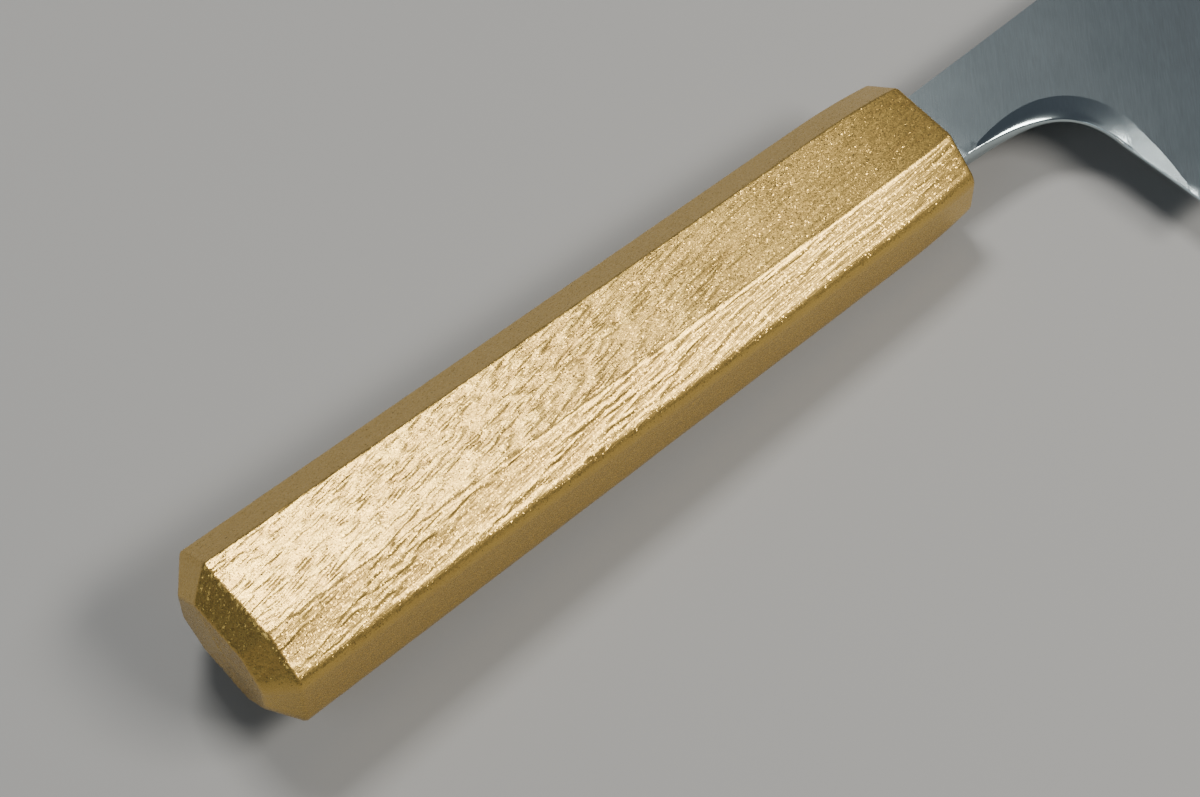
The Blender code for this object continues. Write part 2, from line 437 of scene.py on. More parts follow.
@dataclass(frozen=True)
class GoldLacquer:
    """Satin gold lacquer with fine metal flake, with painted shade that darkens it in the valleys of
    the relief.
    """

    # The darker valley colour, mixed in by the relief's height share, is painted shade in the
    # valleys.
    crest: tuple[float, float, float] = (0.62, 0.407, 0.096)
    valley: tuple[float, float, float] = (0.42, 0.245, 0.060)
    flake_size: float = 0.00017
    flake_tilt: float = 0.050
    glint_tilt: float = 0.42
    glint_rarity: float = 5.0
    streak_fineness: float = 2600.0
    streak_length: float = 16.0
    streak_strength: float = 0.34
    streak_height: float = 0.00012
    cloud_size: float = 0.012
    flake_tone: float = 0.12
    streak_tone: float = 0.14
    cloud_tone: float = 0.07
    most_shine: float = 1.4
    dull_roughness: float = 0.37
    bright_roughness: float = 0.22
    metallic: float = 0.93
    coat_weight: float = 0.30
    coat_roughness: float = 0.48

    def add_flakes(
        self, table: NodeTable, place: bpy.types.NodeSocket
    ) -> tuple[bpy.types.NodeSocket, ...]:
        """Scatters the metal flakes.

        Args:
            table: The material's table.
            place: The piece's own coordinates.

        Returns:
            The normal that the flakes give, and each flake's tone, shine and rareness.
        """
        flakes = table.add("ShaderNodeTexVoronoi", feature="F1")
        table.feed(flakes.inputs["Vector"], place)
        table.feed(flakes.inputs["Scale"], 1.0 / self.flake_size)
        shares = table.add("ShaderNodeSeparateColor")
        table.feed(shares.inputs[0], flakes.outputs["Color"])
        lean = table.vector("SUBTRACT", flakes.outputs["Color"], (0.5, 0.5, 0.5))
        rareness = table.math("POWER", shares.outputs[2], self.glint_rarity)
        tilt = table.math("ADD", table.math("MULTIPLY", rareness, self.glint_tilt), self.flake_tilt)
        flat = table.add("ShaderNodeNewGeometry").outputs["Normal"]
        normal = table.vector("NORMALIZE", table.vector("ADD", flat, table.scaled(lean, tilt)))
        return normal, shares.outputs[0], shares.outputs[1], rareness

    def make(self) -> bpy.types.Material:
        """Builds the material.

        Returns:
            The material.
        """
        material, table, shader, place = start_material("gold_lacquer")
        normal, flake, shine, rareness = self.add_flakes(table, place)
        grain = table.add("ShaderNodeAttribute", attribute_name=GRAIN).outputs["Vector"]
        streaks = add_group(
            table,
            streak_group(),
            Place=grain,
            Fineness=self.streak_fineness,
            Length=self.streak_length,
        )
        clouds = add_group(table, mottle_group(), Place=place, Size=self.cloud_size)
        fine = streaks.outputs["Fine"]
        leaned = table.bump(fine, self.streak_strength, self.streak_height, normal)
        table.feed(shader.inputs["Normal"], leaned)

        # The relief's height share darkens the gold towards the valleys: painted shade.
        tone = table.add("ShaderNodeAttribute", attribute_name=RELIEF).outputs["Fac"]
        for value, low, high, strength in (
            (flake, 0.0, 1.0, self.flake_tone),
            (fine, 0.3, 0.7, self.streak_tone),
            (clouds.outputs["Tone"], 0.0, 1.0, self.cloud_tone),
        ):
            tone = table.math("ADD", tone, table.remap(value, low, high, -strength, strength))
        share = table.remap(tone, 0.0, 1.0, 0.0, 1.0)
        gold = table.mixed(share, colour(*self.valley), colour(*self.crest))
        table.feed(shader.inputs["Base Color"], gold)
        shining = table.math("ADD", rareness, shine)
        ends = (self.dull_roughness, self.bright_roughness)
        rough = table.remap(shining, 0.0, self.most_shine, *ends)
        table.feed(shader.inputs["Roughness"], rough)
        shader.inputs["Metallic"].default_value = self.metallic
        shader.inputs["Coat Weight"].default_value = self.coat_weight
        shader.inputs["Coat Roughness"].default_value = self.coat_roughness
        return material


@dataclass(frozen=True)
class Steel:
    """Stainless steel with brush marks that run from the spine to the edge."""

    surface: SteelSurface
    tint: tuple[float, float, float] = (0.475, 0.555, 0.575)
    roughness: float = 0.255
    marks: float = 0.50
    turn: float = math.radians(51.0)
    fineness: float = 5200.0
    mark_length: float = 17.0
    mark_height: float = 0.00003
    mark_strength: float = 0.5
    mark_tones: tuple[float, float] = (-0.30, 0.16)
    broad_tones: tuple[float, float] = (0.985, 1.015)
    cloud_size: float = 0.018
    cloud_tones: tuple[float, float] = (0.96, 1.04)
    cloud_roughness: float = 0.02

    def make(self) -> bpy.types.Material:
        """Builds the material.

        Returns:
            The material.
        """
        material, table, shader, place = start_material(self.surface.name.lower() + "_steel")
        streaks = add_group(
            table,
            streak_group(),
            Place=place,
            Turn=self.turn,
            Fineness=self.fineness,
            Length=self.mark_length,
        )
        clouds = add_group(table, mottle_group(), Place=place, Size=self.cloud_size).outputs["Tone"]
        fine, broad = streaks.outputs["Fine"], streaks.outputs["Broad"]
        dark, light = (1.0 + change * self.marks for change in self.mark_tones)
        tone = table.remap(fine, 0.25, 0.75, dark, light)
        tone = table.math("MULTIPLY", tone, table.remap(broad, 0.3, 0.7, *self.broad_tones))
        tone = table.math("MULTIPLY", tone, table.remap(clouds, 0.0, 1.0, *self.cloud_tones))
        table.feed(shader.inputs["Base Color"], table.scaled(self.tint, tone))
        least, most = (self.roughness * (1.0 + side * self.cloud_roughness) for side in (-1.0, 1.0))
        rough = table.remap(clouds, 0.0, 1.0, least, most)
        table.feed(shader.inputs["Roughness"], rough)
        leaned = table.bump(fine, self.marks * self.mark_strength, self.mark_height)
        table.feed(shader.inputs["Normal"], leaned)
        shader.inputs["Metallic"].default_value = 1.0
        return material


@dataclass(frozen=True)
class AdhesiveWithPaintedShade:
    """Filler that has cured in the mouth of the handle, dark partly in its own tone and partly as
    painted shade for the shadowed gap round the neck.
    """

    # The filler's tones are kept dark partly as painted shade where the neck enters the handle.
    dark: tuple[float, float, float] = (0.045, 0.030, 0.018)
    light: tuple[float, float, float] = (0.11, 0.075, 0.045)
    cloud_size: float = 0.0012
    roughness: tuple[float, float] = (0.35, 0.55)
    bump_strength: float = 0.4
    bump_height: float = 0.0001

    def make(self) -> bpy.types.Material:
        """Builds the material.

        Returns:
            The material.
        """
        material, table, shader, place = start_material("cured_adhesive")
        clouds = add_group(table, mottle_group(), Place=place, Size=self.cloud_size)
        tone = clouds.outputs["Tone"]
        filler = table.mixed(tone, colour(*self.dark), colour(*self.light))
        table.feed(shader.inputs["Base Color"], filler)
        table.feed(shader.inputs["Roughness"], table.remap(tone, 0.0, 1.0, *self.roughness))
        table.feed(shader.inputs["Normal"], table.bump(tone, self.bump_strength, self.bump_height))
        return material


@dataclass(frozen=True)
class FloorPaint:
    """Plain pale matt floor."""

    shade: float = 0.27
    shade_change: float = 0.015
    warmth: float = 0.01
    cloud_size: float = 0.25
    roughness: float = 0.85

    def make(self) -> bpy.types.Material:
        """Builds the material.

        Returns:
            The material.
        """
        material, table, shader, place = start_material("pale_floor")
        clouds = add_group(table, mottle_group(), Place=place, Size=self.cloud_size)
        shades = [self.shade * (1.0 + side * self.shade_change) for side in (-1.0, 1.0)]
        low, high = (colour(shade, shade, shade * (1.0 - self.warmth)) for shade in shades)
        table.feed(shader.inputs["Base Color"], table.mixed(clouds.outputs["Tone"], low, high))
        shader.inputs["Roughness"].default_value = self.roughness
        return material


# Handle -------------------------------------------------------------------------------------------


@dataclass(frozen=True)
class Octagon:
    """One section of the handle: overall sizes and what each long bevel takes off."""

    height: float
    thickness: float
    cut_y: float
    cut_z: float

    def toward(self, other: "Octagon", share: float) -> "Octagon":
        """The section a share of the way from this one to another.

        Args:
            other: The other section.
            share: The share, from 0 to 1.

        Returns:
            The section between them.
        """
        return Octagon(
            mix(self.height, other.height, share),
            mix(self.thickness, other.thickness, share),
            mix(self.cut_y, other.cut_y, share),
            mix(self.cut_z, other.cut_z, share),
        )

    def inset(self, amount: float) -> "Octagon":
        """The section moved in by the same amount on its flats."""
        return Octagon(self.height - 2 * amount, self.thickness - 2 * amount, self.cut_y, self.cut_z)

    def corners(self) -> list[Vector]:
        """Its eight corners in the section's plane, going round from the spine side.

        Returns:
            The corners.
        """
        high, wide = self.height / 2, self.thickness / 2
        quarter = [Vector((high, wide - self.cut_z)), Vector((high - self.cut_y, wide))]
        upper = quarter + [Vector((-point.x, point.y)) for point in reversed(quarter)]
        return upper + [-point for point in upper]

    def ring(self, counts: Sequence[int], radii: Sequence[float], turns: int) -> np.ndarray:
        """Points round the section, with eased corners.

        Args:
            counts: How many points each side has, in the order of the corners.
            radii: How far from each corner its easing begins.
            turns: How many points lie on the curve round a corner.

        Returns:
            An array of points in the section's plane.
        """
        corners = self.corners()
        size = len(corners)
        points: list[Vector] = []
        for i, count in enumerate(counts):
            start, end, after = corners[i], corners[(i + 1) % size], corners[(i + 2) % size]
            length, next_length = (end - start).length, (after - end).length
            radius = radii[(i + 1) % size]
            first = min(radii[i] / length, MOST_EASED)
            last = min(radius / length, MOST_EASED)
            shares = [mix(first, 1.0 - last, k / (count - 1)) for k in range(count)]
            points += [start.lerp(end, share) for share in shares]
            leaving = end.lerp(start, last)
            entering = end.lerp(after, min(radius / next_length, MOST_EASED))
            for k in range(1, turns + 1):
                share = k / (turns + 1)
                points.append(leaving.lerp(end, share).lerp(end.lerp(entering, share), share))
        return np.array([tuple(point) for point in points])


@dataclass(frozen=True)
class Wave:
    """One band of smooth noise in the wood, in millimetres and turns per millimetre."""

    strength: float
    long_rate: float
    cross_rate: float
    long_shift: float = 0.0
    cross_shift: float = 0.0

    def at(self, x: float, across: float, along: float) -> float:
        """Its value at a place given along the handle, across the rings and along them."""
        place = (x * self.long_rate + self.long_shift, across * self.cross_rate + self.cross_shift)
        return self.strength * noise.noise(Vector((*place, along * self.cross_rate)))


@dataclass(frozen=True)
class RaisedGrain:
    """The wood's relief: growth rings that end in small terraces, and short raised strokes.

    All lengths are in millimetres. Points are on the knife's own axes.
    """

    ring_lean: tuple[float, float] = (0.93, 0.36)
    ring_spacing: float = 3.3
    ring_depth: float = 0.084
    crest_sharpness: float = 4.8
    terrace_edge: float = 0.095
    weakest_ring: float = 0.22
    ring_patch_rate: float = 0.10
    ring_patch_shift: tuple[float, float] = (3.0, 2.0)
    ring_patch_edge: float = 0.22
    ring_waves: tuple[Wave, ...] = (
        Wave(0.90, 0.022, 0.07),
        Wave(0.34, 0.11, 0.22, 7.0),
        Wave(0.14, 0.36, 1.1, 0.0, 3.0),
        Wave(0.05, 0.9, 2.3, 0.0, 9.0),
    )
    butt_slope: float = 0.21
    front_slope: float = 0.05
    slope_change_x: float = -44.0
    slope_change_length: float = 18.0
    stroke_depth: float = 0.128
    stroke_length: float = 5.2
    stroke_width: float = 1.0
    stroke_stretch: float = 0.38
    stroke_change_x: float = -50.0
    stroke_change_length: float = 16.0
    stroke_waves: tuple[Wave, ...] = (Wave(0.30, 0.45, 0.4), Wave(0.10, 1.3, 1.0, 4.0))
    stroke_patches: Wave = Wave(1.0, 0.16, 0.5, 11.0)
    finer_long: float = 1.6
    finer_across: float = 1.8
    finer_shift: float = 5.0
    finer_share: float = 0.30
    groove_patches: tuple[float, float] = (-0.25, 0.15)
    streak_rise: tuple[float, float] = (-0.25, 0.35)
    streak_patch_share: float = 0.4
    groove_width: float = 0.22
    groove_share: float = 0.42
    ripple_depth: float = 0.005
    ripple_size: float = 0.5
    ripple_stretch: float = 0.6
    calmer_front: tuple[float, float] = (-62.0, -22.0)
    front_ring_share: float = 0.42
    front_stroke_share: float = 0.45
    crest_levels: tuple[float, float] = (0.1, 0.8)
    valley_stroke_share: float = 0.45
    crest_stroke_share: float = 1.55

    def drift(self, x: float) -> float:
        """How far the grain has moved towards the spine at a place along the handle.

        Args:
            x: The place.

        Returns:
            The distance.
        """
        return eased_run(
            x, self.butt_slope, self.front_slope, self.slope_change_x, self.slope_change_length
        )

    def turned(self, x: float, y: float, z: float) -> tuple[float, float]:
        """How far a point lies across the growth rings and along them.

        Args:
            x: Place along the handle.
            y: Height above its axis.
            z: Distance from its middle plane.

        Returns:
            The place across the rings and the place along them.
        """
        lean_y, lean_z = self.ring_lean
        level = y - self.drift(x)
        return lean_y * level + lean_z * z, lean_y * z - lean_z * level

    def rings(self, x: float, across: float, along: float) -> float:
        """Height share of the terraces.

        Args:
            x: Place along the handle.
            across: Place across the rings.
            along: Place along them.

        Returns:
            The share, from 0 in a valley to 1 on a crest.
        """
        warp = sum(wave.at(x, across, along) for wave in self.ring_waves)
        phase = across / self.ring_spacing + warp
        share = phase - math.floor(phase)
        crest = 1.0 - self.terrace_edge
        rise = smooth_step(crest, 1.0, share)
        fall = max(0.0, 1.0 - share / crest) ** self.crest_sharpness
        shift, level = self.ring_patch_shift
        patch = noise.noise(Vector((x * self.ring_patch_rate + shift, phase, level)))
        shown = smooth_step(-self.ring_patch_edge, self.ring_patch_edge, patch)
        strength = mix(self.weakest_ring, 1.0, shown)
        return 1.0 - strength * (1.0 - rise) * (1.0 - fall)

    def strokes(self, x: float, across: float, along: float) -> float:
        """Height share of the short strokes: narrow wandering grooves between raised streaks.

        Args:
            x: Place along the handle, as the strokes are stretched.
            across: Place across the rings.
            along: Place along them.

        Returns:
            The share: 1 on a streak and less in a groove.
        """
        long, wide = 1.0 / self.stroke_length, 1.0 / self.stroke_width
        sway = sum(wave.at(x, across, along) for wave in self.stroke_waves)
        first = noise.noise(Vector((x * long, (across + sway) * wide, along * wide)))
        finer = wide * self.finer_across
        finer_x = x * long * self.finer_long + self.finer_shift
        second = noise.noise(Vector((finer_x, (across + sway) * finer, along * finer)))
        patches = self.stroke_patches.at(x, across, along)
        line = abs(first + self.finer_share * second)
        groove = 1.0 - smooth_step(0.0, self.groove_width, line)
        groove *= smooth_step(*self.groove_patches, patches)
        streak = smooth_step(*self.streak_rise, second + self.streak_patch_share * patches)
        return 1.0 - self.groove_share * groove - (1.0 - self.groove_share) * (1.0 - streak)

    def height(self, point: Sequence[float], ring_share: float, stroke_share: float) -> float:
        """The relief at a point.

        Args:
            point: The point.
            ring_share: How strongly the terraces show on this side of the handle.
            stroke_share: How strongly the strokes show on it.

        Returns:
            The height: 0 on the highest crests and negative below.
        """
        x, y, z = point
        across, along = self.turned(x, y, z)
        to_front = smooth_step(*self.calmer_front, x)
        terrace = self.rings(x, across, along)
        rings = self.ring_depth * ring_share * (terrace - 1.0)
        rings *= mix(1.0, self.front_ring_share, to_front)
        stretch = self.stroke_stretch
        run = eased_run(x, 1.0, stretch, self.stroke_change_x, self.stroke_change_length)
        strokes = self.stroke_depth * stroke_share * (self.strokes(run, across, along) - 1.0)
        strokes *= mix(1.0, self.front_stroke_share, to_front)
        on_crest = smooth_step(*self.crest_levels, terrace)
        gathered = mix(self.valley_stroke_share, self.crest_stroke_share, on_crest)
        strokes *= mix(1.0, gathered, ring_share)
        fine = 1.0 / self.ripple_size
        ripple = noise.noise(Vector((x * fine * self.ripple_stretch, y * fine, z * fine))) - 1.0
        return rings + strokes + self.ripple_depth * ripple * max(ring_share, stroke_share)


@dataclass
class Handle:
    """The one-piece octagonal handle, with its relief and the mouth that the neck goes into."""

    length: float = 0.126
    butt: Octagon = Octagon(0.0263, 0.0208, 0.0063, 0.0052)
    front: Octagon = Octagon(0.0237, 0.0185, 0.0057, 0.0049)
    butt_face: Octagon = Octagon(0.0183, 0.0128, 0.0044, 0.0036)
    butt_chamfer: float = 0.0036
    nose_length: float = 0.0137
    nose_drop: float = 0.0006
    front_edge: float = 0.0006
    bore_middle_y: float = 0.0003
    bore: tuple[tuple[float, float, float], ...] = (
        (0.0, 0.0148, 0.0050),
        (-0.0004, 0.0148, 0.0050),
        (-0.0040, 0.0148, 0.0050),
        (-0.0076, 0.0148, 0.0050),
        (-0.0091, 0.0114, 0.0048),
        (-0.0986, 0.0074, 0.0040),
    )
    side_counts: tuple[int, ...] = (36, 80, 52, 44, 52, 80, 36, 40)
    corner_radii: tuple[float, ...] = (0.0004, 0.0003, 0.0005, 0.0014, 0.0014, 0.0005, 0.0003, 0.0004)
    corner_turns: int = 4
    ring_shares: tuple[float, ...] = (0.05, 0.22, 1.0, 0.14, 1.0, 0.22, 0.05, 0.10)
    ring_corner_shares: tuple[float, ...] = (0.05, 0.7, 0.0, 0.0, 0.7, 0.05, 0.05, 0.05)
    stroke_shares: tuple[float, ...] = (0.12, 1.0, 0.42, 0.18, 0.42, 1.0, 0.12, 0.12)
    stroke_corner_shares: tuple[float, ...] = (0.3, 0.6, 0.1, 0.1, 0.6, 0.3, 0.12, 0.12)
    share_spread: int = 5
    end_share: float = 0.8
    butt_face_reach: tuple[float, float] = (0.03, 0.985)
    butt_face_rows: int = 26
    chamfer_reach: tuple[float, float] = (0.05, 0.95)
    chamfer_rows: int = 15
    row_step: float = 0.00036
    first_gap: float = 0.0002
    front_edge_rows: int = 6
    front_face_rows: int = 12
    grain: RaisedGrain = field(default_factory=RaisedGrain)

    def long_section(self, x: float) -> Octagon:
        """The section of the long taper and nose at a place along the axis.

        Args:
            x: The place.

        Returns:
            The section.
        """
        butt_x = self.butt_chamfer - self.length
        section = self.butt.toward(self.front, (x - butt_x) / -butt_x)
        into_nose = max(0.0, (x + self.nose_length) / self.nose_length)
        return section.inset(self.nose_drop * into_nose**2)

    def ring_at(self, x: float, section: Octagon) -> np.ndarray:
        """Points in space round one section."""
        flat = section.ring(self.side_counts, self.corner_radii, self.corner_turns)
        return np.column_stack([np.full(len(flat), x), flat])

    def butt_rows(self) -> list[np.ndarray]:
        """Rings from the middle of the butt's face out and over its chamfer.

        Returns:
            The rings, each an array of points.
        """
        face = self.ring_at(-self.length, self.butt_face)
        reach = np.linspace(*self.butt_face_reach, self.butt_face_rows)
        rows = [face * (1.0, share, share) for share in reach]
        shoulder = self.long_section(self.butt_chamfer - self.length)
        for share in np.linspace(*self.chamfer_reach, self.chamfer_rows):
            x = -self.length + self.butt_chamfer * share
            rows.append(self.ring_at(x, self.butt_face.toward(shoulder, share)))
        return rows

    def long_rows(self) -> list[np.ndarray]:
        """Rings along the taper and the nose.

        Returns:
            The rings.
        """
        start = self.butt_chamfer - self.length + self.first_gap
        stop = -self.front_edge
        count = round((stop - start) / self.row_step)
        return [self.ring_at(x, self.long_section(x)) for x in np.linspace(start, stop, count)]

    def edge_rows(self) -> list[np.ndarray]:
        """Rings over the rounded front edge, up to the rim of the front face.

        Returns:
            The rings, of which the last is the rim.
        """
        rows = []
        for angle in np.linspace(0.0, math.pi / 2, self.front_edge_rows)[1:]:
            x = -self.front_edge * (1.0 - math.sin(angle))
            inset = self.front_edge * (1.0 - math.cos(angle))
            rows.append(self.ring_at(x, self.long_section(x).inset(inset)))
        return rows

    def face_rows(self, rim: np.ndarray) -> list[np.ndarray]:
        """Rings across the front face, from its rim to the mouth.

        Args:
            rim: The rim of the front face.

        Returns:
            The rings.
        """
        mouth = self.bore_ring(rim, *self.bore[0])
        shares = np.linspace(0.0, 1.0, self.front_face_rows)[1:-1]
        return [rim + (mouth - rim) * share for share in shares]

    def bore_ring(self, rim: np.ndarray, x: float, height: float, thickness: float) -> np.ndarray:
        """Points round the flat-sided bore at one depth, each in line with a point of the rim.

        Args:
            rim: The rim of the front face.
            x: How deep the ring lies.
            height: The bore's height there.
            thickness: The bore's width there.

        Returns:
            The ring.
        """
        offset = rim[:, 1] - self.bore_middle_y
        reach = np.minimum(
            (height / 2) / np.maximum(np.abs(offset), 1e-9),
            (thickness / 2) / np.maximum(np.abs(rim[:, 2]), 1e-9),
        )
        across = self.bore_middle_y + offset * reach
        return np.column_stack([np.full(len(rim), x), across, rim[:, 2] * reach])

    def spread_round(self, sides: Sequence[float], corners: Sequence[float]) -> np.ndarray:
        """Values for the handle's sides and the corners after them, eased over the points of a ring.

        Args:
            sides: A value for each side.
            corners: A value for each corner after it.

        Returns:
            A value for each point of a ring.
        """
        values: list[float] = []
        for count, side, corner in zip(self.side_counts, sides, corners):
            values += [side] * count + [corner] * self.corner_turns
        reach = range(-self.share_spread, self.share_spread + 1)
        return np.mean([np.roll(values, step) for step in reach], axis=0)

    def relief(self, grid: np.ndarray) -> np.ndarray:
        """The height of the relief at every point of a grid of rings, in metres.

        Args:
            grid: The rings.

        Returns:
            The heights.
        """
        rings = self.spread_round(self.ring_shares, self.ring_corner_shares).tolist()
        strokes = self.spread_round(self.stroke_shares, self.stroke_corner_shares).tolist()
        heights = np.zeros(grid.shape[:2])
        for i, row in enumerate((grid / MM).tolist()):
            heights[i] = [self.grain.height(*given) for given in zip(row, rings, strokes)]
        return heights * MM

    @staticmethod
    def normals(grid: np.ndarray) -> np.ndarray:
        """Outward unit normals of a grid of rings that go round the X axis.

        Args:
            grid: The rings.

        Returns:
            A normal for each point.
        """
        along = np.gradient(grid, axis=0)
        around = np.roll(grid, -1, axis=1) - np.roll(grid, 1, axis=1)
        normal = np.cross(around, along)
        return normal / np.maximum(np.linalg.norm(normal, axis=2, keepdims=True), 1e-12)

    def rings(self) -> tuple[np.ndarray, np.ndarray]:
        """The whole handle as rings.

        Returns:
            The rings from the middle of the butt to the end of the bore, and how strongly the relief
            shows on each of them.
        """
        butt, long, edge = self.butt_rows(), self.long_rows(), self.edge_rows()
        ends = edge + self.face_rows(edge[-1])
        bore = [self.bore_ring(edge[-1], *place) for place in self.bore]
        shares = [self.end_share] * len(butt) + [1.0] * len(long) + [self.end_share] * len(ends)
        return np.array(butt + long + ends + bore), np.array(shares + [0.0] * len(bore))

    @staticmethod
    def skin(rows: int, columns: int) -> list[tuple[int, ...]]:
        """The faces between rings of points, with a cap on the first ring and one on the last.

        Args:
            rows: How many rings there are.
            columns: How many points each has.

        Returns:
            The faces, wound outward.
        """
        caps = [range(columns - 1, -1, -1), range((rows - 1) * columns, rows * columns)]
        faces = [tuple(cap) for cap in caps]
        for near in range(0, (rows - 1) * columns, columns):
            far = near + columns
            for c in range(columns):
                after = (c + 1) % columns
                faces.append((near + c, near + after, far + after, far + c))
        return faces

    def mark(self, mesh: bpy.types.Mesh, grid: np.ndarray, heights: np.ndarray) -> None:
        """Keeps each point's height share, which the lacquer turns into painted shade in the valleys,
        and its place in the grain.

        Args:
            mesh: The handle's mesh.
            grid: The rings before the relief.
            heights: The relief.
        """
        deepest = self.grain.ring_depth + self.grain.stroke_depth
        # The height share: 1 on the highest crests and less below, used for painted shade in the
        # valleys.
        tone = 1.0 + heights / (deepest * MM)
        attribute = mesh.attributes.new(RELIEF, "FLOAT", "POINT")
        attribute.data.foreach_set("value", tone.reshape(-1).astype(np.float32))
        points = (grid.reshape(-1, 3) / MM).tolist()
        grain = np.array([(x, *self.grain.turned(x, y, z)) for x, y, z in points]) * MM
        attribute = mesh.attributes.new(GRAIN, "FLOAT_VECTOR", "POINT")
        attribute.data.foreach_set("vector", grain.reshape(-1).astype(np.float32))

    def build(self, axes: KnifeAxes) -> bpy.types.Object:
        """Makes the handle's mesh with its relief as real geometry.

        Args:
            axes: Where the knife's axes are in the frame.

        Returns:
            The handle as a piece of the knife.
        """
        grid, shares = self.rings()
        heights = self.relief(grid) * shares[:, None]
        shown = grid + self.normals(grid) * heights[..., None]
        vertices = [tuple(point) for point in shown.reshape(-1, 3)]
        mesh = bpy.data.meshes.new("lacquered_handle")
        mesh.from_pydata(vertices, [], self.skin(*grid.shape[:2]))
        mesh.update()
        self.mark(mesh, grid, heights)
        mesh.shade_smooth()
        piece = add_piece("lacquered_handle", mesh, axes)
        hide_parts("handle")
        return piece

    @staticmethod
    def dress(piece: bpy.types.Object) -> None:
        """Gives the handle its lacquer."""
        piece.data.materials.append(GoldLacquer().make())


# Blade --------------------------------------------------------------------------------------------

Sides = tuple[list[bmesh.types.BMVert], list[bmesh.types.BMVert]]


@dataclass
class Pattern:
    """The blade drawn flat: its points, its faces, and which points are for what."""

    points: list[Vector]
    faces: list[list[int]]
    outline: list[int]
    keen: set[int]
    creased: set[int]


